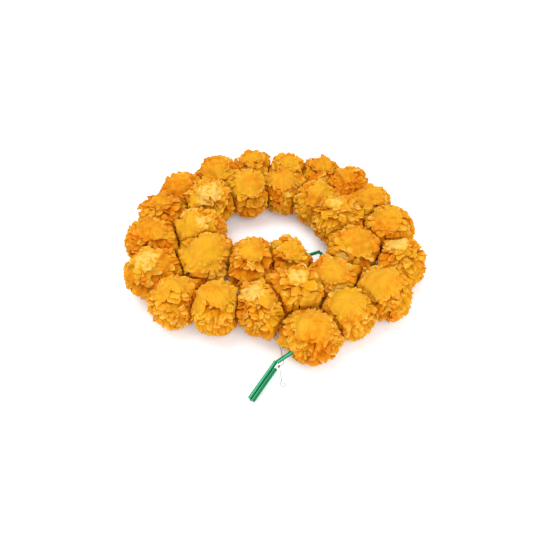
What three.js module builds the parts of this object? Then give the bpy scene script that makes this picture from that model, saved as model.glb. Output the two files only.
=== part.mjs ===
// Artificial marigold garland: thirty fabric pompom blossoms strung on a doubled clear
// thread and coiled in a loose two-turn spiral on a level surface. At each end the thread
// leaves the last blossom through a green neck straw and turns back through a pair of
// green straws, which sleeve the hanging loop. Millimetres, +Z up, lowest face on Z = 0.
import * as THREE from "three";

// Blossoms: an oblate solid around the thread, dished where the thread goes in and out.
const blossomRadius = 27.5;
const blossomFill = 0.86; // share of its length of thread that a blossom takes up
const blossomSides = 14;
const shoulderSteps = 5;
const crownAngle = THREE.MathUtils.degToRad(20);
const bandAngle = THREE.MathUtils.degToRad(78);
const dimpleDepth = 6;
const boreRadius = 0.75;

// Thread, straws and knots.
const threadRadius = 0.4;
const tailRadius = 0.25;
const threadSides = 8;
const strawRadius = 2;
const strawBore = 1.6;
const strawSides = 12;
const strawSpacing = 2 * strawRadius + 0.3;
const knotRadius = 1.3;
const clearance = 0.3;

// A blossom rests on the flat of its middle band, so its axis is this high.
const restHeight = blossomRadius * Math.cos(Math.PI / blossomSides);

// The coil: the thread's place between one blossom and the next, from the outer end
// anticlockwise round the outer ring and on into the inner turn. The third number lifts
// a place where the blossoms crowd and one is pushed up by its neighbours.
const routePoints = [
  [18, -100],
  [56, -68],
  [99, -42],
  [137, -7],
  [149, 46],
  [134, 98],
  [114, 144],
  [84, 183],
  [40, 202],
  [-8, 204],
  [-56, 195],
  [-104, 174],
  [-137, 132],
  [-145, 80],
  [-146, 28],
  [-128, -20],
  [-86, -46],
  [-38, -53],
  [4, -42, 5],
  [47, -17, 5],
  [84, 18],
  [91, 66, 1],
  [66, 109, 1],
  [32, 144],
  [-16, 151],
  [-62, 137, 5],
  [-92, 98, 4],
  [-90, 48],
  [-56, 16],
  [-8, 17],
  [40, 31, 1],
];

// Hanging loops: the neck straw starts neckInset inside the dimple of the last blossom and
// runs to neckEnd. The longer straw of the pair runs on from joint to free end. The pair's
// second straw lies beside it, turned by pairTurn around its length, and starts later by
// setBack.
const loops = {
  outer: {
    neckInset: 7.6,
    neckEnd: [4.6, -103.6, 17],
    straw: [[0.2, -104.6, 14.8], [-24.6, -137, 2.2]],
    pairTurn: 0,
    setBack: 6,
    knot: [3.4, -108.2, 13.2],
  },
  inner: {
    neckInset: 8.1,
    neckEnd: [50.6, 37, 27.2],
    straw: [[52.6, 36.6, 25.4], [68.5, 29, 3.4]],
    pairTurn: THREE.MathUtils.degToRad(-35),
    setBack: 5,
    knot: [51.2, 41.4, 23.6],
  },
};

// Loose thread ends at the outer knot: a short one that falls to the surface in front and
// ends in a curl, and a longer one that runs in under the coil and doubles back.
const tailRoutes = {
  tail_front: [
    [4.2, -109.7, 12.3],
    [4.5, -110.3, 10.8],
    [4.8, -110.9, 9.2],
    [5, -111.4, 7.5],
    [5.2, -111.9, 5.8],
    [5.4, -112.4, 4.2],
    [5.6, -113, 2.7],
    [5.8, -113.8, 1.4],
    [6, -114.9, 0.6],
    [6.1, -116.2, 0.3],
    [5.8, -117.5, 0.3],
    [5.2, -118.7, 0.3],
    [4.9, -120.1, 0.3],
    [5.2, -121.6, 0.3],
    [6.2, -122.8, 0.3],
    [7.7, -123.3, 0.3],
    [9.1, -122.8, 0.3],
    [9.9, -121.5, 0.3],
    [9.7, -120, 0.3],
    [8.6, -119.1, 0.3],
    [7.3, -119.2, 0.3],
  ],
  tail_back: [
    [5.2, -107.6, 12.6],
    [6.6, -105.6, 11.2],
    [7.6, -103.2, 9.4],
    [8.1, -100.6, 7.4],
    [8.2, -98, 5.4],
    [8, -95.2, 3.5],
    [7.6, -92.2, 1.9],
    [7.1, -89, 0.8],
    [6.7, -85.6, 0.3],
    [6.2, -82, 0.3],
    [5.4, -78.2, 0.3],
    [4, -74.4, 0.3],
    [2.2, -70.6, 0.3],
    [0.2, -66.8, 0.3],
    [-1.8, -63.2, 0.3],
    [-3.6, -59.8, 0.3],
    [-4.6, -57, 0.3],
    [-4.2, -54.9, 0.3],
    [-2.6, -54, 0.3],
    [-1, -54.9, 0.3],
    [-0.2, -57, 0.3],
    [0.8, -60.2, 0.3],
    [2.4, -63.8, 0.3],
    [3.9, -67.6, 0.3],
    [5, -71.4, 0.3],
  ],
};

const colours = {
  fabricGold: 0xf4a11c,
  fabricAmber: 0xf08f17,
  fabricYellow: 0xf7b233,
  straw: 0x14a05a,
  thread: 0xdfe3df,
  knot: 0x8f8f88,
};

const garland = new THREE.Group();
garland.name = "marigold_garland";

const toVector = (place) => new THREE.Vector3(...place);

// A route whose corners are kept: it is followed from point to point, one step each.
class PointRoute extends THREE.Curve {
  constructor(points) {
    super();
    this.points = points;
  }

  getPoint(t, target = new THREE.Vector3()) {
    const last = this.points.length - 1;
    const place = THREE.MathUtils.clamp(t, 0, 1) * last;
    const index = Math.min(Math.floor(place), last - 1);
    return target.lerpVectors(this.points[index], this.points[index + 1], place - index);
  }

  getPointAt(u, target) {
    return this.getPoint(u, target);
  }

  getTangentAt(u, target = new THREE.Vector3()) {
    const half = 0.5 / (this.points.length - 1);
    return target.copy(this.getPoint(u + half)).sub(this.getPoint(u - half)).normalize();
  }
}

function polygon(radius, sides) {
  const corners = [];
  for (let side = 0; side < sides; side += 1) {
    const turn = (2 * Math.PI * side) / sides;
    corners.push(new THREE.Vector2(radius * Math.cos(turn), radius * Math.sin(turn)));
  }
  return corners;
}

function sweep(section, points) {
  return new THREE.ExtrudeGeometry(section, {
    steps: points.length - 1,
    extrudePath: new PointRoute(points),
    bevelEnabled: false,
  });
}

function cordGeometry(radius, points) {
  return sweep(new THREE.Shape(polygon(radius, threadSides)), points);
}

function strawGeometry(start, end) {
  const section = new THREE.Shape(polygon(strawRadius, strawSides));
  section.holes.push(new THREE.Path(polygon(strawBore, strawSides)));
  return sweep(section, [start, end]);
}

function blossomGeometry(halfDepth) {
  const shoulder = [];
  for (let step = 0; step < shoulderSteps; step += 1) {
    const turn = THREE.MathUtils.lerp(crownAngle, bandAngle, step / (shoulderSteps - 1));
    shoulder.push({
      out: (blossomRadius * Math.sin(turn)) / Math.sin(bandAngle),
      along: halfDepth * Math.cos(turn),
    });
  }
  const dimple = halfDepth - dimpleDepth;
  const profile = [new THREE.Vector2(boreRadius, -dimple)];
  for (const { out, along } of shoulder) {
    profile.push(new THREE.Vector2(out, -along));
  }
  for (const { out, along } of shoulder.reverse()) {
    profile.push(new THREE.Vector2(out, along));
  }
  profile.push(new THREE.Vector2(boreRadius, dimple));
  profile.push(profile[0].clone());
  return new THREE.LatheGeometry(profile, blossomSides);
}

function addPart(name, geometry, { colour, roughness, metalness = 0 }) {
  const material = new THREE.MeshStandardMaterial({ color: colour, roughness, metalness });
  const mesh = new THREE.Mesh(geometry, material);
  mesh.name = name;
  garland.add(mesh);
  return mesh;
}

const fabric = (colour) => ({ colour, roughness: 0.85 });
const strawPlastic = { colour: colours.straw, roughness: 0.25 };
const clearThread = { colour: colours.thread, roughness: 0.15 };
const tiedThread = { colour: colours.knot, roughness: 0.4 };

// Blossoms: each sits halfway between two places on the route, its axis along the thread
// and one flat of its middle band facing down.
const stringing = routePoints.map(
  ([x, y, lift = 0]) => new THREE.Vector3(x, y, restHeight + lift),
);
const fabricTints = [colours.fabricGold, colours.fabricAmber, colours.fabricYellow];
const up = new THREE.Vector3(0, 0, 1);
for (let index = 0; index + 1 < stringing.length; index += 1) {
  const axis = stringing[index + 1].clone().sub(stringing[index]);
  const halfDepth = (blossomFill * axis.length()) / 2;
  axis.normalize();
  const across = new THREE.Vector3().crossVectors(axis, up).normalize();
  const upright = new THREE.Vector3().crossVectors(across, axis);
  const number = String(index + 1).padStart(2, "0");
  const tint = fabricTints[index % fabricTints.length];
  const blossom = addPart("blossom_" + number, blossomGeometry(halfDepth), fabric(tint));
  const depth = new THREE.Vector3().crossVectors(upright, axis);
  blossom.quaternion.setFromRotationMatrix(new THREE.Matrix4().makeBasis(upright, axis, depth));
  blossom.position.lerpVectors(stringing[index], stringing[index + 1], 0.5);
}

// Straws of one hanging loop, from the last place on the route and the one before it. The
// way the thread takes through them is returned.
function addLoop(side, [last, before], loop) {
  const inward = before.clone().sub(last).normalize();
  const neckStart = last.clone().addScaledVector(inward, loop.neckInset);
  const neckEnd = toVector(loop.neckEnd);
  const [start, end] = loop.straw.map(toVector);
  const knot = toVector(loop.knot);
  const along = end.clone().sub(start).normalize();
  const across = new THREE.Vector3().crossVectors(along, up).negate().normalize();
  const offset = across.clone().applyAxisAngle(along, loop.pairTurn).setLength(strawSpacing);
  const pairStart = start.clone().add(offset).addScaledVector(along, loop.setBack);
  const pairEnd = end.clone().add(offset);
  addPart(side + "_neck_straw", strawGeometry(neckStart, neckEnd), strawPlastic);
  addPart(side + "_loop_straw_long", strawGeometry(start, end), strawPlastic);
  addPart(side + "_loop_straw_short", strawGeometry(pairStart, pairEnd), strawPlastic);
  const tied = addPart(side + "_knot", new THREE.IcosahedronGeometry(knotRadius, 1), tiedThread);
  tied.position.copy(knot);

  // Inside the pair the thread leans on the walls the two straws turn to each other.
  const lean = offset.clone().setLength(strawBore - threadRadius - clearance);
  const mouth = 0.8;
  const turnOut = 1.6;
  const farMiddle = end.clone().addScaledVector(offset, 0.5).addScaledVector(along, 2.6);
  const stop = knot.clone().sub(pairStart).setLength(knotRadius + clearance);
  return [
    neckStart,
    neckEnd,
    neckEnd.clone().addScaledVector(neckEnd.clone().sub(neckStart).normalize(), mouth),
    start.clone().add(lean).addScaledVector(along, -mouth),
    end.clone().add(lean),
    end.clone().add(lean).addScaledVector(along, turnOut),
    farMiddle,
    pairEnd.clone().sub(lean).addScaledVector(along, turnOut),
    pairEnd.clone().sub(lean),
    pairStart.clone().sub(lean).addScaledVector(along, -mouth),
    knot.clone().sub(stop),
  ];
}

// The thread: from the outer knot through one loop, straight through every blossom, and
// through the other loop to the inner knot.
const outerWay = addLoop("outer", stringing.slice(0, 2), loops.outer).reverse();
const innerWay = addLoop("inner", stringing.slice(-2).reverse(), loops.inner);
const threadWay = [...outerWay, ...stringing.slice(1, -1), ...innerWay];
addPart("thread", cordGeometry(threadRadius, threadWay), clearThread);

for (const [name, places] of Object.entries(tailRoutes)) {
  addPart(name, cordGeometry(tailRadius, places.map(toVector)), clearThread);
}

// The origin is under the middle of the coil, on the surface it lies on.
const extent = new THREE.Box3();
garland.updateMatrixWorld(true);
for (const part of garland.children) {
  if (!part.name.startsWith("tail")) extent.expandByObject(part, true);
}
const middle = extent.getCenter(new THREE.Vector3());
garland.position.set(-middle.x, -middle.y, -extent.min.z);

export default garland;
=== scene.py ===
import math

import bpy
import numpy as np
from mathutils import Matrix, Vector


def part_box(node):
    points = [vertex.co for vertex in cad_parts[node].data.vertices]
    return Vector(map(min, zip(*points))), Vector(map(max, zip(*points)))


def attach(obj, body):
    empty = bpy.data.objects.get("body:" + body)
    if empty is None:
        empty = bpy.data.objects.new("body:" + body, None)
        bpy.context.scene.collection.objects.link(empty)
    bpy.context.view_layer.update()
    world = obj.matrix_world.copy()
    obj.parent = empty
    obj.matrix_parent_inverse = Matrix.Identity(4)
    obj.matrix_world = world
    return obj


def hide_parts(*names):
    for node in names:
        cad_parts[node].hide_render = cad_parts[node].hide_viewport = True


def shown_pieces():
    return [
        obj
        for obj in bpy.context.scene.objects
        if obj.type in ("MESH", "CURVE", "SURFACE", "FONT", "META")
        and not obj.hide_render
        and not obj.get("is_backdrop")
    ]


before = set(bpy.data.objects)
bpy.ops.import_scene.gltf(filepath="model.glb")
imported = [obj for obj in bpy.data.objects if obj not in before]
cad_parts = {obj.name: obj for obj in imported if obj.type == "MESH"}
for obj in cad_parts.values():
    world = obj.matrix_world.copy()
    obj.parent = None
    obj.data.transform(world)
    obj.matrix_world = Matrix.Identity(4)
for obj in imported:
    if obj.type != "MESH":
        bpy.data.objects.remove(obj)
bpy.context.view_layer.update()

mm = 0.001
fullTurn, halfTurn = 6.283, 3.14  # in radians, for random starts
print("garland: frame loaded,", len(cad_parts), "CAD nodes")


def middleOf(node):
    low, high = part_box(node)
    return (Vector(low) + Vector(high)) / 2


# The string's route, in mm: its place between one blossom and the next, from the outer
# end round the outer ring and on into the inner turn. A third number lifts a place.
string = {
    "route": [
        (18, -100), (56, -68), (99, -42), (137, -7), (149, 46), (134, 98), (114, 144),
        (84, 183), (40, 202), (-8, 204), (-56, 195), (-104, 174), (-137, 132),
        (-145, 80), (-146, 28), (-128, -20), (-86, -46), (-38, -53), (4, -42, 5),
        (47, -17, 5), (84, 18), (91, 66, 1), (66, 109, 1), (32, 144), (-16, 151),
        (-62, 137, 5), (-92, 98, 4), (-90, 48), (-56, 16), (-8, 17), (40, 31, 1),
    ],
    "restHeight": 27.5 * math.cos(math.pi / 14),
    "knotPlace": (3.4, -108.2, 13.2),
}
shift = middleOf("outer_knot") - Vector(string["knotPlace"]) * mm


def placed(point):
    return Vector(point) * mm + shift


stringPoints = [
    placed((x, y, string["restHeight"] + (rest[0] if rest else 0)))
    for x, y, *rest in string["route"]
]


def deselectAll():
    if bpy.context.object and bpy.context.object.mode != "OBJECT":
        bpy.ops.object.mode_set(mode="OBJECT")
    bpy.ops.object.select_all(action="DESELECT")


def makeActive(piece):
    deselectAll()
    piece.select_set(True)
    bpy.context.view_layer.objects.active = piece


def applyAll(piece):
    makeActive(piece)
    for modifier in list(piece.modifiers):
        bpy.ops.object.modifier_apply(modifier=modifier.name)


def intoPlace(piece):
    makeActive(piece)
    bpy.ops.object.transform_apply(location=True, rotation=True, scale=True)


class Wire:
    def __init__(self, mat, socket):
        self.mat = mat
        self.socket = socket

    def maths(self, operation, *values):
        return self.mat.node("ShaderNodeMath", {"operation": operation}, *values)

    def __add__(self, other):
        return self.maths("ADD", self, other)

    def __radd__(self, other):
        return self.maths("ADD", other, self)

    def __sub__(self, other):
        return self.maths("SUBTRACT", self, other)

    def __rsub__(self, other):
        return self.maths("SUBTRACT", other, self)

    def __mul__(self, other):
        return self.maths("MULTIPLY", self, other)

    def __rmul__(self, other):
        return self.maths("MULTIPLY", other, self)


class Finish:
    def __init__(self, name):
        self.material = bpy.data.materials.new(name)
        self.material.use_nodes = True
        self.nodes = self.material.node_tree.nodes
        self.links = self.material.node_tree.links
        self.nodes.clear()

    def plug(self, socket, value):
        if isinstance(value, Wire):
            self.links.new(value.socket, socket)
        elif value is not None:
            opaque = socket.type == "RGBA" and len(value) == 3
            socket.default_value = (*value, 1) if opaque else value

    def node(self, kind, settings=None, *values, out=0, **named):
        made = self.nodes.new(kind)
        for key, value in (settings or {}).items():
            if key == "stops":
                ramp = made.color_ramp
                while len(ramp.elements) < len(value):
                    ramp.elements.new(0.5)
                for element, (place, colour) in zip(ramp.elements, value):
                    element.position = place
                    element.color = (*colour, 1) if len(colour) == 3 else colour
            else:
                setattr(made, key, value)
        for socket, value in zip(made.inputs, values):
            self.plug(socket, value)
        for key, value in named.items():
            self.plug(made.inputs[key.replace("_", " ")], value)
        return Wire(self, made.outputs[out]) if len(made.outputs) else made

    def objectPlace(self):
        return self.node("ShaderNodeTexCoord", out=3)

    def clothPlace(self):
        return self.node("ShaderNodeUVMap", {"uv_map": "OFBake"})

    def value(self, name):
        return self.node("ShaderNodeAttribute", {"attribute_name": name}, out=2)

    def stretched(self, vector, scale):
        return self.node("ShaderNodeMapping", None, vector, Scale=scale)

    def cloud(self, vector, scale, detail=3.0, roughness=0.55):
        return self.node(
            "ShaderNodeTexNoise", None,
            Vector=vector, Scale=scale, Detail=detail, Roughness=roughness,
        )

    def ramp(self, factor, stops):
        return self.node("ShaderNodeValToRGB", {"stops": stops}, factor)

    def between(self, value, low, high, newLow=0.0, newHigh=1.0):
        return self.node(
            "ShaderNodeMapRange", None, value, low, high, newLow, newHigh
        )

    def blend(self, factor, first, second):
        # A Mix node's colour inputs come after five inputs for other kinds of value.
        return self.node(
            "ShaderNodeMix", {"data_type": "RGBA"}, factor, *[None] * 5, first, second, out=2
        )

    def bump(self, height, strength, distance, normal=None):
        return self.node(
            "ShaderNodeBump", None,
            Height=height, Strength=strength, Distance=distance, Normal=normal,
        )

    def principled(self, **named):
        return self.node("ShaderNodeBsdfPrincipled", None, **named)

    def glowing(self, share, shader, colour, normal=None):
        # Thin cloth and plastic let some of the light through.
        glow = self.node("ShaderNodeBsdfTranslucent", None, colour, normal)
        return self.node("ShaderNodeMixShader", None, share, shader, glow)

    def finishWith(self, shader):
        self.node("ShaderNodeOutputMaterial", None, shader)
        return self.material


# The camera looks down on the coil from the front.
camera = {
    "target": (0.8, -46.2, 29.0),
    "elevation": 47.0,
    "distance": 537.7,
    "lens": 32.0,
    "sensor": 36.0,
}
lens = bpy.data.cameras.new("viewLens")
lens.lens = camera["lens"]
lens.sensor_width = camera["sensor"]
lens.clip_start = 0.01
lens.clip_end = 50
viewer = bpy.data.objects.new("viewer", lens)
bpy.context.scene.collection.objects.link(viewer)
tilt = math.radians(camera["elevation"])
back = Vector((0, -math.cos(tilt), math.sin(tilt)))
viewer.location = (Vector(camera["target"]) + back * camera["distance"]) * mm
viewer.rotation_mode = "QUATERNION"
viewer.rotation_quaternion = (-back).to_track_quat("-Z", "Y")
bpy.context.scene.camera = viewer


def nylonFinish():
    mat = Finish("clearNylon")
    place = mat.objectPlace()
    streaks = mat.cloud(mat.stretched(place, (400, 400, 60)), 6.0, 2.0)
    base = mat.blend(streaks, (0.10, 0.095, 0.09), (0.36, 0.35, 0.33))
    rough = mat.between(streaks, 0.3, 0.7, 0.12, 0.35)
    normal = mat.bump(streaks, 0.3, 0.05 * mm)
    shader = mat.principled(
        Base_Color=base, Roughness=rough, Normal=normal, IOR=1.53,
        Transmission_Weight=0.25,
    )
    return mat.finishWith(shader)


clearNylon = nylonFinish()

# Loose thread ends at the outer knot: one falls to the surface in front, the other runs in
# under the coil and doubles back.
tails = {
    "diameter": 0.5,
    "intoKnot": 0.35,
    "pieces": {
        "tail_front": [
            (4.2, -109.7, 12.3), (4.5, -110.3, 10.8), (4.8, -110.9, 9.2), (5, -111.4, 7.5),
            (5.2, -111.9, 5.8), (5.4, -112.4, 4.2), (5.6, -113, 2.7), (5.8, -113.8, 1.4),
            (6, -114.9, 0.6), (6.1, -116.2, 0.3), (5.8, -117.5, 0.3), (5.2, -118.7, 0.3),
            (4.9, -120.1, 0.3), (5.2, -121.6, 0.3), (6.2, -122.8, 0.3), (7.7, -123.3, 0.3),
            (9.1, -122.8, 0.3), (9.9, -121.5, 0.3), (9.7, -120, 0.3), (8.6, -119.1, 0.3),
            (7.3, -119.2, 0.3),
        ],
        "tail_back": [
            (5.2, -107.6, 12.6), (6.6, -105.6, 11.2), (7.6, -103.2, 9.4), (8.1, -100.6, 7.4),
            (8.2, -98, 5.4), (8, -95.2, 3.5), (7.6, -92.2, 1.9), (7.1, -89, 0.8),
            (6.7, -85.6, 0.3), (6.2, -82, 0.3), (5.4, -78.2, 0.3), (4, -74.4, 0.3),
            (2.2, -70.6, 0.3), (0.2, -66.8, 0.3), (-1.8, -63.2, 0.3), (-3.6, -59.8, 0.3),
            (-4.6, -57, 0.3), (-4.2, -54.9, 0.3), (-2.6, -54, 0.3), (-1, -54.9, 0.3),
            (-0.2, -57, 0.3), (0.8, -60.2, 0.3), (2.4, -63.8, 0.3), (3.9, -67.6, 0.3),
            (5, -71.4, 0.3),
        ],
    },
}


def smoothThrough(points, steps):
    ends = [2 * points[0] - points[1], *points, 2 * points[-1] - points[-2]]
    line = []
    for a, b, c, d in zip(ends, ends[1:], ends[2:], ends[3:]):
        for step in range(steps):
            t = step / steps
            line.append(
                0.5 * (2 * b + (c - a) * t + (2 * a - 5 * b + 4 * c - d) * t**2
                       + (3 * b - a - 3 * c + d) * t**3)
            )
    return line + [points[-1]]


def lineLength(points):
    return sum((b - a).length for a, b in zip(points, points[1:]))


def roundLine(name, lines, radius, sides=4):
    curve = bpy.data.curves.new(name, "CURVE")
    curve.dimensions = "3D"
    curve.bevel_depth = radius
    curve.bevel_resolution = sides
    curve.use_fill_caps = True
    for points in lines:
        spline = curve.splines.new("POLY")
        spline.points.add(len(points) - 1)
        for knot, point in zip(spline.points, points):
            knot.co = (*point, 1)
    piece = bpy.data.objects.new(name, curve)
    bpy.context.scene.collection.objects.link(piece)
    return piece


for node, route in tails["pieces"].items():
    points = [placed(point) for point in route]
    atKnot = points[0].lerp(middleOf("outer_knot"), tails["intoKnot"])
    line = smoothThrough([atKnot, *points], 3)
    for point in line:
        point.z = max(point.z, tails["diameter"] / 2 * mm)
    tail = roundLine(node + "_strand", [line], tails["diameter"] / 2 * mm, 2)
    tail.data.materials.append(clearNylon)
    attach(tail, "root")
    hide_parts(node)
    lineLength(line)
    print("tail:", node, round(lineLength(line) / mm, 1), "mm")


# Neck straws, and the pairs that sleeve the hanging loops. Lengths are in mm.
straws = {
    "radius": 2.12,
    "wall": 0.28,
    "edge": 0.05,
    "sides": 28,
    "stations": 14,
    "seed": 40,
    "oval": 0.035,
    "ridges": 0.05,
    "bow": 0.12,
    "reach": {  # how much further a straw runs towards its joint
        "outer_neck_straw": 3.4, "outer_loop_straw_long": 1.0,
        "outer_loop_straw_short": 0.8, "inner_neck_straw": 0.6,
        "inner_loop_straw_long": 0.6, "inner_loop_straw_short": 0.6,
    },
    "green": ((0.0, 0.20, 0.065), (0.001, 0.28, 0.09)),
    # painted highlight and painted shade, laid in bands round the straw by its streak value
    "paintedHighlight": (0.08, 0.62, 0.32),
    "paintedShade": (0.002, 0.075, 0.04),
    "scuffColour": (0.04, 0.36, 0.18),
    "glow": (0.01, 0.42, 0.14),
    "glowShare": 0.1,
}


def strawFinish():
    mat = Finish("greenStraw")
    place = mat.objectPlace()
    drift = mat.cloud(place, 90.0, 3.0)
    scuff = mat.cloud(place, 900.0, 4.0, 0.7)
    streak = mat.value("streak")
    base = mat.blend(drift, *straws["green"])
    # painted highlight where the streak value is high, painted shade where it is low
    base = mat.blend(mat.between(streak, 0.84, 0.98), base, straws["paintedHighlight"])
    base = mat.blend(mat.between(streak, 0.32, 0.05), base, straws["paintedShade"])
    base = mat.blend(mat.between(scuff, 0.62, 0.8), base, straws["scuffColour"])
    rough = mat.between(scuff, 0.3, 0.8, 0.14, 0.34)
    normal = mat.bump(drift, 0.25, 0.3 * mm, mat.bump(scuff, 0.12, 0.05 * mm))
    shader = mat.principled(
        Base_Color=base, Roughness=rough, Normal=normal, Coat_Weight=0.05,
        Coat_Roughness=0.08, Specular_IOR_Level=0.22,
    )
    return mat.finishWith(mat.glowing(straws["glowShare"], shader, straws["glow"]))


greenStraw = strawFinish()


def strawTube(node, start, end, seed):
    along = end - start
    deselectAll()
    bpy.ops.mesh.primitive_cylinder_add(
        vertices=straws["sides"], radius=(straws["radius"] - straws["wall"] / 2) * mm,
        depth=along.length, end_fill_type="NOTHING",
    )
    tube = bpy.context.object
    tube.name = node + "_tube"
    bpy.ops.object.mode_set(mode="EDIT")
    bpy.ops.mesh.select_all(action="SELECT")
    bpy.ops.mesh.bisect(plane_co=(0, 0, 0), plane_no=(0, 0, 1))
    for share in range(1, straws["stations"]):
        if share * 2 == straws["stations"]:
            continue
        bpy.ops.mesh.select_all(action="SELECT")
        height = (share / straws["stations"] - 0.5) * along.length
        bpy.ops.mesh.bisect(plane_co=(0, 0, height), plane_no=(0, 0, 1))
    bpy.ops.object.mode_set(mode="OBJECT")
    chance = np.random.default_rng(seed)
    phase = chance.uniform(0, 2 * halfTurn, 4)
    streak = []
    for vertex in tube.data.vertices:  # a straw is never quite round or straight
        share = vertex.co.z / along.length + 0.5
        turn = math.atan2(vertex.co.y, vertex.co.x)
        squeeze = 1 - straws["oval"] * (1 + math.sin(2 * turn + phase[0] + 2 * share))
        squeeze -= straws["ridges"] * (1 + math.cos(3 * turn + phase[2] + share)) / 2
        vertex.co.x *= squeeze
        vertex.co.y *= squeeze
        bow = straws["bow"] * mm * math.sin(math.pi * share)
        vertex.co.x += bow * math.cos(phase[1])
        vertex.co.y += bow * math.sin(phase[1])
        # the streak value runs round the straw with its ridges and places a painted highlight
        # and painted shade
        streak.append(0.5 + 0.5 * math.cos(3 * turn + phase[2] + share))
    layer = tube.data.attributes.new("streak", "FLOAT", "POINT")
    layer.data.foreach_set("value", streak)
    wall = tube.modifiers.new("wall", "SOLIDIFY")
    wall.thickness = straws["wall"] * mm
    wall.offset = 0
    edge = tube.modifiers.new("edge", "BEVEL")
    edge.width = straws["edge"] * mm
    edge.segments = 1
    edge.limit_method = "ANGLE"
    edge.angle_limit = math.radians(60)
    applyAll(tube)
    bpy.ops.object.shade_smooth_by_angle(angle=math.radians(50))
    tube.rotation_mode = "QUATERNION"
    tube.rotation_quaternion = along.to_track_quat("Z", "Y")
    tube.location = (start + end) / 2
    intoPlace(tube)
    tube.data.materials.clear()
    tube.data.materials.append(greenStraw)
    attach(tube, "root")
    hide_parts(node)


def tubeEnds(node):
    # The CAD tube's own two ends, from its box and the way it leans.
    mesh = bpy.data.objects[node].data
    points = np.array([vertex.co for vertex in mesh.vertices])
    centre = points.mean(0)
    _, _, ways = np.linalg.svd(points - centre, full_matrices=False)
    reach = (points - centre) @ ways[0]
    return Vector(centre + ways[0] * reach.min()), Vector(centre + ways[0] * reach.max())


def fromJoint(node):
    # The same two ends, first the one at the knot.
    joint = middleOf(node[:5] + "_knot")
    return sorted(tubeEnds(node), key=lambda end: (end - joint).length)


loopLines = []
for count, (node, reach) in enumerate(straws["reach"].items()):
    near, far = fromJoint(node)
    along = (near - far).normalized()
    near += along * reach * mm
    strawTube(node, near, far, straws["seed"] + count)
    if "loop" in node:
        loopLines.append((np.array(near) / mm, np.array(far) / mm))
print("straws:", len(straws["reach"]))

# The doubled thread: out through one loop, along the whole string and through the other.
# Lengths are in mm.
thread = {
    "strand": 0.21,
    "apart": 0.22,
    "twist": 14.0,  # the length that the two strands take to turn once round each other
    "step": 2.5,
    "eased": 4,
    "lean": 0.9,  # how far off the middle of a straw the thread lies
    "mouth": 0.8,
    "turnOut": 1.6,
    "farTurn": 2.6,
    "knotReach": 1.25,
    "knotTall": 1.6,
    "knotSteps": 96,
    "knotStrand": 0.34,
}


def wayThroughLoop(side):
    neckNear, neckFar = fromJoint(side + "_neck_straw")
    near, far = fromJoint(side + "_loop_straw_long")
    pairNear, pairFar = fromJoint(side + "_loop_straw_short")
    out = (far - near).normalized()
    lean = (pairFar - far).normalized() * thread["lean"] * mm
    mouth, turnOut = out * thread["mouth"] * mm, out * thread["turnOut"] * mm
    return [
        neckFar, neckNear, near + lean - mouth, far + lean, far + lean + turnOut,
        (far + pairFar) / 2 + out * thread["farTurn"] * mm,
        pairFar - lean + turnOut, pairFar - lean, pairNear - lean - mouth,
        middleOf(side + "_knot"),
    ]


def evenly(points, step):
    line = []
    for a, b in zip(points, points[1:]):
        parts = max(1, round((b - a).length / step))
        line += [a.lerp(b, part / parts) for part in range(parts)]
    return line + [points[-1]]


def eased(line, times):
    for _ in range(times):
        inner = [(a + 2 * b + c) / 4 for a, b, c in zip(line, line[1:], line[2:])]
        line = [line[0], *inner, line[-1]]
    return line


def twisted(line, offset):
    strand, gone = [], 0.0
    for before, point, after in zip([line[0], *line], line, [*line[1:], line[-1]]):
        along = (after - before).normalized()
        side = along.cross(Vector((0.1, 0.2, 1))).normalized()
        turn = gone / (thread["twist"] * mm) * 2 * math.pi + offset
        around = side * math.cos(turn) + along.cross(side) * math.sin(turn)
        strand.append(point + around * thread["apart"] * mm)
        gone += (after - point).length
    return strand


def tiedKnot(node):
    # An overhand knot: three loops round the knot's middle.
    middle, loops = middleOf(node), []
    for step in range(thread["knotSteps"] + 1):
        t = step / thread["knotSteps"] * 2 * math.pi
        loops.append(middle + Vector((
            math.sin(t) + 2 * math.sin(2 * t), math.cos(t) - 2 * math.cos(2 * t),
            -math.sin(3 * t) * thread["knotTall"],
        )) * thread["knotReach"] / 3 * mm)
    knot = roundLine(node + "_tied", [loops], thread["knotStrand"] * mm, 2)
    knot.data.materials.append(clearNylon)
    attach(knot, "root")
    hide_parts(node)


outerWay, innerWay = wayThroughLoop("outer"), wayThroughLoop("inner")
threadWay = evenly(
    [*reversed(outerWay), *stringPoints[1:-1], *innerWay], thread["step"] * mm
)
threadWay = eased(threadWay, thread["eased"])
strands = roundLine(
    "thread_strands", [twisted(threadWay, 0), twisted(threadWay, math.pi)],
    thread["strand"] * mm, 1,
)
strands.data.materials.append(clearNylon)
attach(strands, "root")
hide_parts("thread")
tiedKnot("outer_knot")
tiedKnot("inner_knot")
print("thread:", round(lineLength(threadWay) / mm), "mm along its way")

# Blossoms: ruffled rounds of cloth that overlap downwards from a smooth cap round, with
# loose petals between, closed by a ball of packed cloth inside. Lengths are in mm.
pompom = {
    "count": 30,
    "seed": 900,
    "radius": 27.4,
    "depthShare": 0.51,
    "warm": 0.1,
    "inset": 2.4,  # the ruffles start this far inside the outline
    "underCaps": 0.14,  # how much lower the ruffles lie under a cap
    "proud": 2.2,  # rims that stand further out than this are pressed back
    "pressed": 0.4,
    "dents": ((24, 1.1), (12, 1.1), (6, 0.25)),  # how far apart and how high they are
    "bulge": (0.36, 0.7),  # how far it may swell between its neighbours, level and downwards
    "neighbours": 72,  # how near a blossom lies that can press on it
    "gap": 0.35,
    "soft": 0.08,  # how gently the cloth is pressed back, first and last
    "firm": 0.01,
    "seam": 1.7,  # how far the seam between two blossoms wanders
    "seamSeed": 77,
    "seamWaves": 7,
    "seamShade": 2.0,  # how near to a seam the cloth turns to its deep shade
    "offStraw": 0.9,  # how far the cloth stays off a straw that lies beside it
    "heart": 0.8,
    "heartSides": (32, 20),
    "heartDents": (6.5, 0.9),
}
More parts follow.
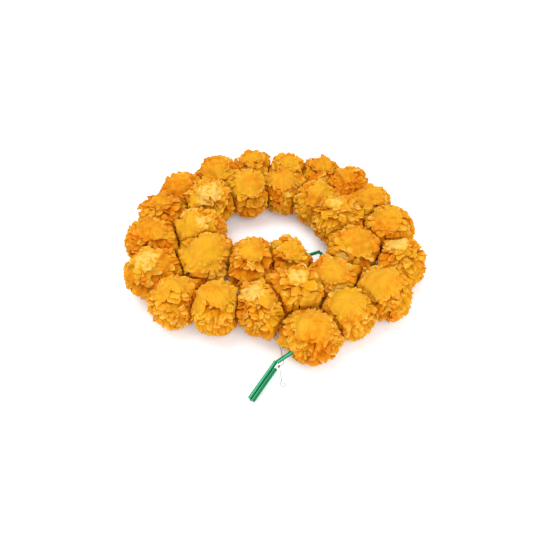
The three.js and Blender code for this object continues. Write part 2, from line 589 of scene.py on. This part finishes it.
ruffle = {
    "spokes": (140, 160, 176, 190, 200, 204, 204, 196, 176, 144, 104),
    "rings": (1.0, 0.96, 0.9, 0.82, 0.72, 0.6),
    "firstRim": 4,  # degrees past the cap's edge
    "lastRim": 168,
    "spread": 1.12,
    "width": (28, 20),  # this and the next three: at the cap, and lower down
    "tuck": (4.0, 6.5),
    "lift": (0.8, 2.4),
    "swell": (0.5, 0.85),
    "tilt": 0.09,
    "sway": 5.0,  # degrees that a lower rim wanders up and down
    "fold": 8.5,
    "finer": 0.66,  # how much narrower the folds get away from the cap
    "crinkle": 0.75,
    "undercut": 0.35,
    "tooth": 0.3,  # how far every other corner of a rim is cut in
}
cap = {
    "count": 2,
    "spokes": 130,
    "rings": (1.0, 0.96, 0.91, 0.85, 0.78, 0.7, 0.61, 0.51, 0.4, 0.28, 0.15),
    "lift": 1.7,
    "spread": 0.89,
    "lower": 0.9,  # how much lower a cap lies that shows past the first one's rim
    "aside": (12, 20),  # and how many degrees to one side
    "fold": 6.5,
    "creases": 10,
    "creaseDepth": 0.8,
    "pleat": 2.0,
    "flutter": 0.6,
    "crinkle": 0.3,
    "tooth": 0.2,
    "pale": 0.2,
}
loosePetal = {
    "count": 40,
    "spokes": 16,
    "rings": (1.0, 0.84, 0.5),
    "size": (2.0, 4.3),
    "lift": (0.8, 2.2),
    "point": 0.3,
    "cup": (-0.6, 0.4),
    "twist": (-0.6, 0.6),
    "crease": 0.45,
    "flutter": 0.2,
    "tries": 24,
    "offCap": 5,  # degrees
    "pale": (-0.1, 0.42),
}


def clothRound(spokes, rings, pierced):
    deselectAll()
    bpy.ops.mesh.primitive_circle_add(vertices=spokes, radius=1, fill_type="NOTHING")
    cloth = bpy.context.object
    bpy.ops.object.mode_set(mode="EDIT")
    bpy.ops.mesh.select_all(action="SELECT")
    for outer, inner in zip(rings, rings[1:]):
        bpy.ops.mesh.extrude_edges_move()
        bpy.ops.transform.resize(
            value=(inner / outer, inner / outer, 1), center_override=(0, 0, 0)
        )
    if not pierced:
        bpy.ops.mesh.extrude_edges_move()
        bpy.ops.mesh.merge(type="CENTER")
    bpy.ops.mesh.select_all(action="SELECT")
    bpy.ops.mesh.normals_make_consistent(inside=False)
    bpy.ops.object.mode_set(mode="OBJECT")
    if sum(face.normal.z for face in cloth.data.polygons) < 0:
        cloth.data.flip_normals()
    return cloth


def clothBlank():
    # All the cloth of one blossom, still flat, each round in its own tile of the UV map.
    rounds = [clothRound(n, ruffle["rings"], True) for n in ruffle["spokes"]]
    for kind in (cap, loosePetal):
        for _ in range(kind["count"]):
            rounds.append(clothRound(kind["spokes"], kind["rings"], False))
    deselectAll()
    segments, ringCount = pompom["heartSides"]
    bpy.ops.mesh.primitive_uv_sphere_add(segments=segments, ring_count=ringCount, radius=1)
    rounds.append(bpy.context.object)
    across = math.ceil(math.sqrt(len(rounds)))
    for number, cloth in enumerate(rounds):
        data = cloth.data
        sheet = data.attributes.new("sheet", "INT", "POINT")
        sheet.data.foreach_set("value", np.full(len(data.vertices), number, np.int32))
        flat = np.empty(len(data.vertices) * 3, np.float32)
        data.vertices.foreach_get("co", flat)
        flat = flat.reshape(-1, 3)
        corners = np.empty(len(data.loops), np.int32)
        data.loops.foreach_get("vertex_index", corners)
        tile = np.array([number % across, number // across]) + 0.5
        places = (tile + 0.46 * flat[corners, :2]) / across
        for layer in list(data.uv_layers):
            data.uv_layers.remove(layer)
        layer = data.uv_layers.new(name="OFBake")
        layer.data.foreach_set("uv", places.astype(np.float32).ravel())
    deselectAll()
    for cloth in rounds:
        cloth.select_set(True)
    bpy.context.view_layer.objects.active = rounds[0]
    bpy.ops.object.join()
    blank = bpy.context.object
    blank.name = "clothBlank"
    return blank


blank = clothBlank()
vertexCount = len(blank.data.vertices)
flat = np.empty(vertexCount * 3, np.float32)
blank.data.vertices.foreach_get("co", flat)
flat = flat.reshape(-1, 3).astype(float)
sheetOf = np.empty(vertexCount, np.int32)
blank.data.attributes["sheet"].data.foreach_get("value", sheetOf)
outward = np.minimum(np.hypot(flat[:, 0], flat[:, 1]), 1)  # rounding can pass 1
aroundIt = np.arctan2(flat[:, 1], flat[:, 0])
print("cloth blank:", vertexCount, "corners")


def ripple(turn, chance, lowest, highest):
    # A smooth random wave round a full turn, about -1 to 1.
    total = np.zeros_like(turn)
    for number in range(lowest, highest + 1):
        wave = np.sin(number * turn + chance.uniform(0, fullTurn))
        total += wave * chance.uniform(0.5, 1)
    return total / math.sqrt(highest - lowest + 1)


def crumple(points, chance, length, count=9):
    # Smooth random push in three directions, from crossing waves about length apart.
    push = np.zeros_like(points)
    for _ in range(count):
        way = chance.normal(size=3)
        way /= np.linalg.norm(way)
        wave = fullTurn / (length * chance.uniform(0.7, 1.5))
        swing = np.sin(points @ way * wave + chance.uniform(0, fullTurn))
        push += swing[:, None] * chance.normal(size=3)
    return push / math.sqrt(count)


def fade(value, start, over):
    # 0 until start, and then up to 1 over the next stretch.
    return np.clip((value - start) / over, 0, 1)


def unit(way):
    return np.asarray(way, float) / np.linalg.norm(way)


def wayOf(azimuth, elevation):
    a, e = math.radians(azimuth), math.radians(elevation)
    return np.array([math.cos(a) * math.cos(e), math.sin(a) * math.cos(e), math.sin(e)])


def degreesFrom(way, points, reach=1):
    return np.degrees(np.arccos(np.clip(points @ way / reach, -1, 1)))


# A ball, below, is a blossom's axis, radius and half its depth.
def surfaceReach(ways, ball):
    axis, radius, depth = ball
    along = ways @ axis
    return 1 / np.sqrt((1 - along**2) / radius**2 + along**2 / depth**2)


def roundTop(top, lean, turn):
    # Ways that lean from top by an angle and turn round it.
    helper = unit(np.cross(top, (0.31, 0.22, 0.92)))
    other = np.cross(top, helper)
    return (
        np.outer(np.cos(lean), top)
        + (np.sin(lean) * np.cos(turn))[:, None] * helper
        + (np.sin(lean) * np.sin(turn))[:, None] * other
    )


def foldsOf(turn, count, chance):
    # Uneven folds round a full turn: 0 in a crease and 1 on a fold's back, their slope,
    # and a tone of its own for each fold.
    swing = 0.5 * count * turn + 0.9 * ripple(turn, chance, 2, 5) + chance.uniform(0, halfTurn)
    tones = chance.uniform(-1, 1, count)
    number = np.floor(swing / math.pi).astype(int) % count
    return np.abs(np.sin(swing)) ** 0.7, np.sin(2 * swing), tones[number]


def toothed(turn, share, tooth):
    return tooth * (np.arange(len(turn)) % 2) * (share > 0.99)


def ruffled(turn, share, top, rimAngle, lower, foldWidth, ball, chance):
    # One ruffled round: tucked in at its inner edge, its rim hangs over the next round.
    radius = ball[1]
    first = ruffle["rings"][-1]
    build = (share - first) / (1 - first)
    rim = math.radians(rimAngle)
    count = max(6, round(2 * math.pi * radius * math.sin(rim) / foldWidth))
    fold, slope, tone = foldsOf(turn, count, chance)
    wild = ripple(turn, chance, 3, count // 2 + 3)
    small = ripple(turn, chance, 2 * count, 3 * count)
    width, tuck, lift, swell = (
        ruffle[key][0] + (ruffle[key][1] - ruffle[key][0]) * lower
        for key in ("width", "tuck", "lift", "swell")
    )
    lean = rim + math.radians(width) * (build - 1)
    lean += foldWidth / radius * (0.4 * (fold - 0.6) + 0.3 * wild) * build**2
    lean += math.radians(ruffle["sway"]) * ripple(turn, chance, 2, 6) * lower * build
    lean -= toothed(turn, share, ruffle["tooth"]) / radius
    height = -tuck * (1 - build) ** 1.3 + lift * build**3
    height += foldWidth * (swell + 0.2 * wild) * (fold - 0.62) * build
    height += ruffle["crinkle"] * small * build + 0.12 * foldWidth * wild * build**2
    flare = np.clip(ripple(turn, chance, 3, count), 0, 1)  # parts of a rim stand up
    height += flare * np.clip(build - 0.7, 0, 1) / 0.3
    facing = turn - ruffle["undercut"] / count * 2 * slope * build
    ways = roundTop(top, lean, facing)
    reach = surfaceReach(ways, ball) + height
    # Its places, a painted shade that deepens towards the tucked edge and into each fold's
    # crease, and its tone.
    return ways * reach[:, None], build * (0.35 + 0.65 * fold), tone


def heartBall(points, ball, chance):
    ways = points / np.linalg.norm(points, axis=1)[:, None]
    reach = surfaceReach(ways, ball) * pompom["heart"]
    apart, high = pompom["heartDents"]
    return ways * reach[:, None] + crumple(ways * ball[1], chance, apart) * high


def creasesOf(x, y, reach, count, chance):
    # Short soft creases that cross a round anywhere: how deep each place lies in them.
    deep = np.zeros_like(x)
    for _ in range(count):
        angle, place = chance.uniform(0, fullTurn), chance.normal(size=2) * 0.55 * reach
        across = (x - place[0]) * math.cos(angle) + (y - place[1]) * math.sin(angle)
        along = (y - place[1]) * math.cos(angle) - (x - place[0]) * math.sin(angle)
        bend = across + 0.04 * chance.normal() * along**2
        run, thick = chance.uniform(3, 7), chance.uniform(0.6, 1.3)
        line = np.exp(-((bend / thick) ** 2) - (along / run) ** 2)
        deep = np.maximum(deep, line * chance.uniform(0.5, 1))
    return deep


def capRound(turn, share, top, spreadAngle, lift, creases, ball, chance):
    # A smooth round that hugs the ball, its scalloped rim a little lifted.
    radius = ball[1]
    spread = math.radians(spreadAngle)
    around = 2 * math.pi * radius * math.sin(spread)
    count = max(7, round(around / cap["fold"]))
    fold, slope, tone = foldsOf(turn, count, chance)
    wild = ripple(turn, chance, 3, count)
    pleated = np.clip(0.45 + 0.55 * ripple(turn, chance, 1, 4), 0, 1)
    lean = spread * share * (1 + 0.07 * ripple(turn, chance, 1, 4))
    lean += (0.05 * (fold - 0.6) * pleated + 0.03 * wild) * share**9
    lean -= toothed(turn, share, cap["tooth"]) / radius
    size = radius * spread
    deep = creasesOf(
        size * share * np.cos(turn), size * share * np.sin(turn), size, creases, chance,
    )
    height = lift * (1 - 0.3 * share**4) - cap["creaseDepth"] * deep + 0.5 * share**20
    pleats = pleated * share**5 + 0.5 * (1 - pleated) * share**14
    height += cap["pleat"] * (fold - 0.65) * pleats
    height += cap["flutter"] * wild * share**6
    height += cap["crinkle"] * ripple(turn, chance, 2 * count, 3 * count) * share**9
    ways = roundTop(top, lean, turn - 0.5 / count * slope * share**9)
    reach = surfaceReach(ways, ball) + height
    # Painted shade in the creases and pleats, and a painted highlight at the very rim.
    crease = np.clip((pleated * share**5 + 0.4 * share**14) * (1 - fold) + 0.5 * deep, 0, 1)
    toRim = 0.82 - 0.45 * crease + 0.1 * share**16
    return ways * reach[:, None], toRim, 0.4 * tone * share**6


def petal(turn, share, way, top, size, lift, ball, chance):
    # A loose petal: its root is tucked in towards the cap, its rim lifts and crinkles.
    onward = way - top * (way @ top) + 0.35 * chance.normal(size=3)
    helper = unit(onward - way * (onward @ way))
    other = np.cross(way, helper)
    wild = ripple(turn, chance, 2, 5)
    outline = 1 + 0.1 * wild + 0.04 * ripple(turn, chance, 9, 13)
    outline += loosePetal["point"] * np.clip(np.cos(turn), 0, 1) ** 8
    x = size * share * outline * np.cos(turn)
    y = size * share * outline * np.sin(turn) * chance.uniform(0.8, 1.1)
    y *= 1 + 0.2 * x / size
    place = way * surfaceReach(way[None], ball)[0]
    cup, twist = chance.uniform(*loosePetal["cup"]), chance.uniform(*loosePetal["twist"])
    raised = lift * (1 + 0.8 * x / size) + cup * y**2 / size + twist * y
    crease = loosePetal["crease"]  # along its middle, up or down
    raised += chance.uniform(-crease, crease) * np.abs(y)
    raised += ripple(turn, chance, 2, 6) * share**1.5 * loosePetal["flutter"] * size
    points = place + np.outer(x, helper) + np.outer(y, other)
    ways = points / np.linalg.norm(points, axis=1)[:, None]
    reach = surfaceReach(ways, ball) + raised + 0.2
    shade = 0.25 + 0.5 * share + 0.25 * np.clip(ripple(turn, chance, 2, 5) * share, -1, 1)
    return ways * reach[:, None], shade, chance.uniform(-0.6, 0.6)


# Per blossom: where its smooth caps face (azimuth, elevation and spread in degrees), where
# its pale patches face (the same), its size, and how far it lies off its place (mm to the
# right, away and up). Some are warmer or have their own fold width, petal sizes, cap
# creases or depth, or push their neighbours back.
looks = {
    1: {"caps": [(170, 85, 50)], "fold": 7, "size": 0.98, "off": (0, 1.5),
        "ahead": 0.1},
    2: {"caps": [(-150, 75, 50)], "fold": 8, "size": 0.99,
        "off": (-1.5, 1.5)},
    3: {"caps": [(-170, 75, 52)], "fold": 8, "size": 1.06,
        "off": (-2.5, -4)},
    4: {"caps": [(135, 60, 36)], "warm": 0.3, "pale": [(135, 60, 40)], "size": 0.94,
        "off": (2, 3)},
    5: {"caps": [(-140, 70, 44)], "warm": 0.25, "off": (-3, 5)},
    6: {"caps": [(-140, 70, 46)], "warm": 0.3, "size": 0.96, "off": (-2, 1)},
    7: {"caps": [(-145, 60, 30)], "warm": 0.4, "size": 0.93, "off": (-1, 1)},
    8: {"caps": [(-55, 80, 38)], "warm": 0.45, "size": 0.9},
    9: {"caps": [(-75, 70, 28)], "warm": 0.2, "size": 0.9, "off": (0, -4)},
    10: {"caps": [(-120, 70, 26)], "warm": 0.3, "size": 0.91, "off": (2, 6)},
    11: {"caps": [(-110, 60, 38)], "warm": 0.4, "size": 0.98, "off": (2, 1.5)},
    12: {"caps": [(-95, 65, 42)], "warm": 0.45, "size": 0.95, "off": (-2, -3)},
    13: {"caps": [(25, 80, 26)], "warm": 0.4, "size": 1.02, "off": (0.5, -6)},
    14: {"caps": [(-15, 80, 38)], "warm": 0.4, "size": 1.08, "off": (1, -5)},
    15: {"caps": [(-135, 80, 32), (-15, 60, 30)], "warm": 0.3, "pale": [(-100, 75, 35)],
         "size": 1.1, "off": (2.5, -3.5)},
    16: {"caps": [(30, 70, 32), (-140, 65, 26)], "pale": [(-120, 20, 30)],
         "off": (1, -5.5)},
    17: {"caps": [(-15, 80, 42), (-150, 45, 28)], "warm": 0.05, "fold": 8,
         "petals": (2.6, 4.8), "size": 1.06, "off": (1, 2.5)},
    18: {"caps": [(150, 70, 30), (-25, 65, 26)], "pale": [(150, 70, 40)],
         "off": (0, -2.5)},
    19: {"caps": [(-170, 90, 28), (-55, 15, 32)], "pale": [(-170, 88, 30)],
         "off": (-2.5, 0.5)},
    20: {"caps": [(-90, 80, 46)], "warm": 0.2, "pale": [(-90, 20, 25)], "size": 0.93,
         "creases": 3, "off": (-3, -7, -3)},
    21: {"caps": [(-55, 65, 48)], "warm": 0.35, "pale": [(-120, 25, 25)],
         "off": (1, -0.5)},
    22: {"caps": [(155, 80, 26), (-45, 75, 22)], "pale": [(155, 80, 28)],
         "size": 1.08, "off": (-4, 3)},
    23: {"caps": [(-65, 65, 36)], "warm": 0.15, "fold": 8, "size": 1.01,
         "off": (1.5, -1.5)},
    24: {"caps": [(-75, 80, 44)], "warm": 0.3, "fold": 7, "size": 1.06, "off": (1.5, 1)},
    25: {"caps": [(-80, 75, 46)], "size": 1.1, "off": (4.5, -4)},
    26: {"caps": [(-130, 50, 32), (-40, 70, 30)], "warm": 0.05, "pale": [(-90, 60, 45)],
         "size": 1.05, "off": (-3, 4)},
    27: {"caps": [(-135, 50, 42)], "pale": [(-60, 65, 25)], "size": 1.06,
         "off": (2.5, -4.5)},
    28: {"caps": [(-100, 75, 54)], "size": 1.08, "off": (-4, -7.5),
         "ahead": 0.12},
    29: {"caps": [(-60, 80, 38)], "warm": 0.2, "fold": 7, "size": 1.04, "off": (6, 2.5)},
    30: {"caps": [(-55, 75, 28)], "warm": 0.25, "fold": 7.5, "petals": (2.4, 4.6),
         "size": 0.98, "off": (-2.5, 1.5), "depth": 0.43},
}


seamChance = np.random.default_rng(pompom["seamSeed"])
seamWaves = [
    (seamChance.normal(size=3) / 3, seamChance.uniform(0, fullTurn))
    for _ in range(pompom["seamWaves"])
]


def seamShift(places):
    # How far the seam between two blossoms wanders, the same seen from both.
    total = sum(np.sin(places @ wave + start) for wave, start in seamWaves)
    return pompom["seam"] * total / math.sqrt(len(seamWaves))


def squeezed(points, centre, way, limit, side, softness):
    # Presses what passes a limit back behind it, more gently further in.
    reach = points @ way
    if side:  # a neighbour, not the floor
        onSeam = points + np.outer(limit + pompom["gap"] - reach, way) + centre
        limit = limit + side * seamShift(onSeam)
    start = limit * (1 - softness)
    over = np.clip(reach - start, 0, None)
    room = limit - start
    pressed = start + room * (1 - np.exp(-over / room))
    return points + np.outer(np.where(over > 0, pressed - reach, 0), way)


def offStraw(points, centre, line):
    # Pushes cloth off a straw that lies beside it.
    start, end = line
    run = end - start
    away = points + centre - start
    along = np.clip(away @ run / (run @ run), 0, 1)
    offset = away - np.outer(along, run)
    distance = np.linalg.norm(offset, axis=1) + 1e-9
    room = straws["radius"] + pompom["offStraw"]
    push = np.clip(room - distance, 0, None) / distance
    return points + offset * push[:, None]


def crowded(points, ball, limits):
    # Crowded cloth swells into the room between the blossoms around it.
    reach = np.linalg.norm(points, axis=1) + 1e-9
    ways = points / reach[:, None]
    own = surfaceReach(ways, ball) + pompom["inset"]
    room, crowd = np.full(len(points), 99.0), np.zeros(len(points))
    for way, limit, _ in limits:
        facing = ways @ way
        room = np.minimum(room, limit / np.clip(facing, 0.05, None))
        crowd += fade(facing, 0.35, 0.45)
    crowd = fade(crowd, 0.55, 0.8)
    crowd *= fade(ways[:, 2], 0.6, -0.35)  # but not upwards
    level, downwards = pompom["bulge"]
    most = level + (downwards - level) * fade(ways[:, 2], 0.15, -0.4)
    swell = np.clip(1.01 * room / own - 1, 0, most) * crowd
    return points * (1 + swell)[:, None]


def capsOf(look, chance):
    # Where each cap faces, how far it spreads and how high it lies.
    caps = [(wayOf(a, e), s * cap["spread"], cap["lift"]) for a, e, s in look["caps"]]
    top, spread, lift = caps[0]
    while len(caps) < cap["count"]:
        aside = unit(np.cross(top, chance.normal(size=3)))
        way = unit(top + math.tan(math.radians(chance.uniform(*cap["aside"]))) * aside)
        caps.append((way, spread * chance.uniform(0.85, 0.95), lift - cap["lower"]))
    return caps


def roomiestWay(caps, taken, chance):
    # The roomiest of a few random places beside the caps, and not far underneath.
    best, way = -1, None
    for _ in range(loosePetal["tries"]):
        tried = unit(chance.normal(size=3))
        clear = all(degreesFrom(c, tried) > s + loosePetal["offCap"] for c, s, _ in caps)
        room = min([1.0] + [np.linalg.norm(tried - other) for other in taken])
        if clear and room > best and tried[2] > -0.5:
            best, way = room, tried
    return tried if way is None else way


def shapeBlossom(number, centre, axis, halfDepth, limits):
    # Its cloth's places, its painted shade and highlight (dark deep in folds, light at rims),
    # how pale and how warm it is.
    chance = np.random.default_rng(pompom["seed"] + number)
    look = looks[number]
    radius = pompom["radius"] * look.get("size", 1) - pompom["inset"]
    ball = axis, radius, halfDepth - 0.6 * pompom["inset"]
    foldWidth = look.get("fold", ruffle["fold"])
    points = np.zeros((vertexCount, 3))
    # the heart ball keeps a painted deep shade
    toRim = np.full(vertexCount, 0.1)
    tone, pale = np.zeros(vertexCount), np.zeros(vertexCount)
    caps = capsOf(look, chance)
    top, spread, _ = caps[0]
    rounds, start = len(ruffle["spokes"]), spread + ruffle["firstRim"]
    for index in range(rounds):
        mine = sheetOf == index
        part = (index / (rounds - 1)) ** ruffle["spread"]
        rimAngle = start + (ruffle["lastRim"] - start) * part
        lower = min(1, 2.2 * part)
        tilt = ruffle["tilt"] * (0.3 if index == 0 else 1)
        points[mine], toRim[mine], tone[mine] = ruffled(
            aroundIt[mine], outward[mine], unit(top + tilt * chance.normal(size=3)),
            rimAngle + chance.uniform(-2, 2), lower,
            foldWidth * chance.uniform(0.85, 1.2) * (1 + (ruffle["finer"] - 1) * lower),
            ball, chance,
        )
    reach = np.linalg.norm(points, axis=1) + 1e-9
    for way, capSpread, _ in caps:  # under a cap the ruffles lie lower
        under = fade(degreesFrom(way, points, reach), capSpread * 0.9, -8)
        points *= (1 - pompom["underCaps"] * under)[:, None]
    for index, (way, capSpread, lift) in enumerate(caps):
        mine = sheetOf == rounds + index
        points[mine], toRim[mine], tone[mine] = capRound(
            aroundIt[mine], outward[mine], way, capSpread, lift,
            look.get("creases", cap["creases"]), ball, chance,
        )
        pale[mine] = cap["pale"]
    taken = []
    for index in range(loosePetal["count"]):
        mine = sheetOf == rounds + cap["count"] + index
        taken.append(roomiestWay(caps, taken, chance))
        points[mine], toRim[mine], tone[mine] = petal(
            aroundIt[mine], outward[mine], taken[-1], top,
            chance.uniform(*look.get("petals", loosePetal["size"])),
            chance.uniform(*loosePetal["lift"]), ball, chance,
        )
        pale[mine] = chance.uniform(*loosePetal["pale"])
    mine = sheetOf == sheetOf.max()
    points[mine] = heartBall(flat[mine], ball, chance)
    free = np.where(mine, 0.3, np.where(sheetOf < rounds, 1.25, 0.8))[:, None]
    for apart, high in pompom["dents"]:
        points += crumple(points, chance, apart) * high * free
    reach = np.linalg.norm(points, axis=1) + 1e-9
    most = surfaceReach(points / reach[:, None], ball) + pompom["inset"] + pompom["proud"]
    points *= (np.minimum(reach, most + pompom["pressed"] * (reach - most)) / reach)[:, None]
    for azimuth, elevation, patch in look.get("pale", []):
        lean = degreesFrom(wayOf(azimuth, elevation), points, reach)
        pale += 0.6 * fade(lean, patch, -20)
    floorLimit, *others = limits
    points = crowded(points, ball, others)
    for way, limit, side in others:
        points = squeezed(points, centre, way, limit, side, pompom["soft"])
        # painted shade near the seams between blossoms
        near = np.clip(1 - (limit - points @ way) / pompom["seamShade"], 0, 1)
        toRim = toRim * (1 - 0.8 * near)
    for line in loopLines:
        points = offStraw(points, centre, line)
    for way, limit, side in [*others, floorLimit]:
        points = squeezed(points, centre, way, limit, side, pompom["firm"])
    warm = look.get("warm", pompom["warm"]) - 0.45 * tone
    return points, toRim, np.clip(pale + 0.25 * tone, -1, 1), warm


centres, axes, depths = [], [], []
for number, look in looks.items():
    start, end = stringPoints[number - 1], stringPoints[number]
    centre = np.array(middleOf(f"blossom_{number:02d}")) / mm
    right, away, *raised = look.get("off", (0, 0))
    sunk = pompom["radius"] * (1 - look.get("size", 1)) - sum(raised)
    centres.append(centre + (right, away, -sunk))
    axes.append(unit(end - start))
    depths.append((end - start).length / mm * look.get("depth", pompom["depthShare"]))


def supportOf(index, way):
    # How far a blossom reaches in a way, more if it pushes its neighbours back.
    along = way @ axes[index]
    radius = pompom["radius"] * looks[index + 1].get("size", 1)
    support = math.sqrt(radius**2 * (1 - along**2) + (depths[index] * along) ** 2)
    return support * (1 + looks[index + 1].get("ahead", 0))


def limitsOf(index):
    # How far a blossom may reach, first towards the floor and then to each neighbour.
    low = centres[index][2] - pompom["gap"]
    limits = [(np.array([0, 0, -1.0]), low, 0)]
    for other in range(pompom["count"]):
        between = centres[other] - centres[index]
        distance = np.linalg.norm(between)
        if other == index or distance > pompom["neighbours"]:
            continue
        way = between / distance
        mine, theirs = supportOf(index, way), supportOf(other, way)
        limit = distance * mine / (mine + theirs) - pompom["gap"]
        limits.append((way, limit, 1 if other > index else -1))
    return limits


fabric = {
    "depths": [  # painted shade at the bottom of a fold, up to a painted highlight at its rim
        (0.0, (0.43, 0.065, 0.001)), (0.3, (0.68, 0.21, 0.002)),
        (0.6, (0.80, 0.36, 0.010)), (0.85, (0.86, 0.47, 0.032)), (1.0, (0.94, 0.66, 0.18)),
    ],
    # painted shade in the creases of the crushed cloth
    "crease": (0.70, 0.22, 0.003),
    "darkRay": (0.74, 0.24, 0.003),
    "lightRay": (0.88, 0.51, 0.045),
    "yellow": (0.80, 0.42, 0.012),
    "orange": (0.76, 0.21, 0.002),
    "golden": (0.88, 0.49, 0.025),
    "cream": (0.93, 0.67, 0.18),
    "glow": (0.80, 0.34, 0.006),
    "glowShare": 0.3,
    "threads": 150.0,
}


def fabricFinish():
    mat = Finish("petalFabric")
    cloth, place = mat.clothPlace(), mat.objectPlace()
    rim, pale, warm = mat.value("toRim"), mat.value("pale"), mat.value("warm")
    dye = mat.cloud(place, 38.0, 3.0)
    mottle = mat.cloud(place, 420.0, 4.0, 0.6)
    streak = mat.cloud(mat.stretched(cloth, (60, 60, 1)), 6.0, 3.0)
    around = mat.node(
        "ShaderNodeCombineXYZ", None, mat.value("aroundX"), mat.value("aroundY"), 0.0,
    )
    rays = mat.cloud(around, 7.0, 3.0, 0.6)
    # painted shade deep in the folds, a painted highlight at the rims
    depth = mat.between(rim + (mottle - 0.5) * 0.3, 0.1, 1.0)
    base = mat.ramp(depth, fabric["depths"])
    drift = mat.node(
        "ShaderNodeTexNoise", None, out=1, Vector=place, Scale=110.0, Detail=2.0,
    )
    pushed = mat.node(
        "ShaderNodeVectorMath", {"operation": "MULTIPLY_ADD"},
        drift, (0.009, 0.009, 0.009), place,
    )
    cells = mat.node(
        "ShaderNodeTexVoronoi", {"feature": "DISTANCE_TO_EDGE"},
        Vector=pushed, Scale=190.0,
    )
    crushed = mat.between(cells, 0.0, 0.16)
    # painted shade along the crushed creases
    crease = mat.between(crushed, 0.5, 0.0, 0.0, 0.08)
    base = mat.blend(crease, base, fabric["crease"])
    base = mat.blend(mat.between(rays, 0.5, 0.3, 0.0, 0.6), base, fabric["darkRay"])
    base = mat.blend(mat.between(rays, 0.54, 0.74, 0.0, 0.5), base, fabric["lightRay"])
    base = mat.blend(mat.between(dye, 0.5, 0.3), base, fabric["yellow"])
    warmth = mat.between(dye + warm * 0.4, 0.5, 0.8, 0.0, 0.85)
    base = mat.blend(warmth, base, fabric["orange"])
    spots = mat.cloud(place, 190.0, 3.0, 0.6)
    patches = pale * mat.between(spots, 0.35, 0.6, 0.1, 1.6)
    bleached = mat.between(patches + (streak - 0.5) * 0.7, 0.15, 0.9, 0.0, 0.85)
    base = mat.blend(mat.between(bleached, 0.0, 0.4), base, fabric["golden"])
    base = mat.blend(mat.between(bleached, 0.25, 0.85, 0.0, 0.8), base, fabric["cream"])
    rough = mat.between(mottle, 0.3, 0.7, 0.72, 0.95)
    warp, weft = (
        mat.node(
            "ShaderNodeTexWave", {"wave_type": "BANDS", "bands_direction": direction},
            Vector=cloth, Scale=fabric["threads"], Distortion=1.0,
        )
        for direction in "XY"
    )
    creases = mat.cloud(place, 260.0, 3.0, 0.6)
    normal = mat.bump(warp * weft, 0.18, 0.12 * mm)
    normal = mat.bump(creases, 0.34, 0.8 * mm, normal)
    normal = mat.bump(crushed * mat.between(dye, 0.45, 0.6), 0.12, 0.6 * mm, normal)
    normal = mat.bump(rays, 0.34, 1.0 * mm, normal)
    shader = mat.principled(
        Base_Color=base, Roughness=rough, Normal=normal, Sheen_Weight=0.02,
        Sheen_Roughness=0.5, Specular_IOR_Level=0.04,
    )
    return mat.finishWith(mat.glowing(fabric["glowShare"], shader, fabric["glow"], normal))


petalFabric = fabricFinish()

for index in range(pompom["count"]):
    points, toRim, pale, warm = shapeBlossom(
        index + 1, centres[index], axes[index], depths[index], limitsOf(index)
    )
    data = blank.data.copy()
    blossom = bpy.data.objects.new(f"blossom_{index + 1:02d}_cloth", data)
    data.name = blossom.name
    bpy.context.scene.collection.objects.link(blossom)
    world = ((points + centres[index]) * mm).astype(np.float32)
    data.vertices.foreach_set("co", world.ravel())
    for name, values in (
        ("aroundX", np.cos(aroundIt)), ("aroundY", np.sin(aroundIt)),
        ("toRim", toRim), ("pale", pale), ("warm", warm),
    ):
        layer = data.attributes.new(name, "FLOAT", "POINT")
        layer.data.foreach_set("value", values.astype(np.float32))
    data.update()
    makeActive(blossom)
    bpy.ops.object.shade_smooth()
    data.materials.append(petalFabric)
    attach(blossom, "root")
    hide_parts(f"blossom_{index + 1:02d}")
bpy.data.objects.remove(blank)
print("blossoms:", pompom["count"])

# A plain pale floor, soft studio light and a white surround, in metres and watts.
studio = {
    "floorSize": 8.0,
    "floorColours": ((0.92, 0.92, 0.92), (0.94, 0.94, 0.94)),
    "floorGlow": 0.14,
    "keyPower": 13.0,
    "keySize": 1.3,
    "keyPlace": (-0.45, 0.35, 1.4),
    "fillPower": 16.5,
    "fillPlace": (0.5, -1.2, 1.2),
    "sky": 0.84,
}
deselectAll()
bpy.ops.mesh.primitive_plane_add(size=studio["floorSize"])
floor = bpy.context.object
floor.name = "studioFloor"
floorMat = Finish("studioFloor")
grain = floorMat.cloud(floorMat.objectPlace(), 3.0)
floorColour = floorMat.blend(grain, *studio["floorColours"])
floor.data.materials.append(
    floorMat.finishWith(floorMat.principled(
        Base_Color=floorColour, Roughness=0.9, Emission_Color=(1, 1, 1),
        Emission_Strength=studio["floorGlow"],
    ))
)
floor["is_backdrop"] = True


def softLight(name, power, size, place):
    lamp = bpy.data.lights.new(name, "AREA")
    lamp.energy = power
    lamp.size = size
    light = bpy.data.objects.new(name, lamp)
    light.location = place
    light.rotation_mode = "QUATERNION"
    light.rotation_quaternion = (-Vector(place)).to_track_quat("-Z", "Y")
    bpy.context.scene.collection.objects.link(light)


softLight("keyLight", studio["keyPower"], studio["keySize"], studio["keyPlace"])
softLight("fillLight", studio["fillPower"], studio["keySize"], studio["fillPlace"])
surround = bpy.data.worlds.new("studioWorld")
bpy.context.scene.world = surround
surround.use_nodes = True
sky = surround.node_tree.nodes["Background"].inputs
sky["Color"].default_value = (1, 1, 1, 1)
sky["Strength"].default_value = studio["sky"]
bpy.context.scene.view_settings.view_transform = "Standard"

total = 0
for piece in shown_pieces():
    if piece.type == "MESH":
        piece.data.calc_loop_triangles()
        total += len(piece.data.loop_triangles)
print("triangles:", total)
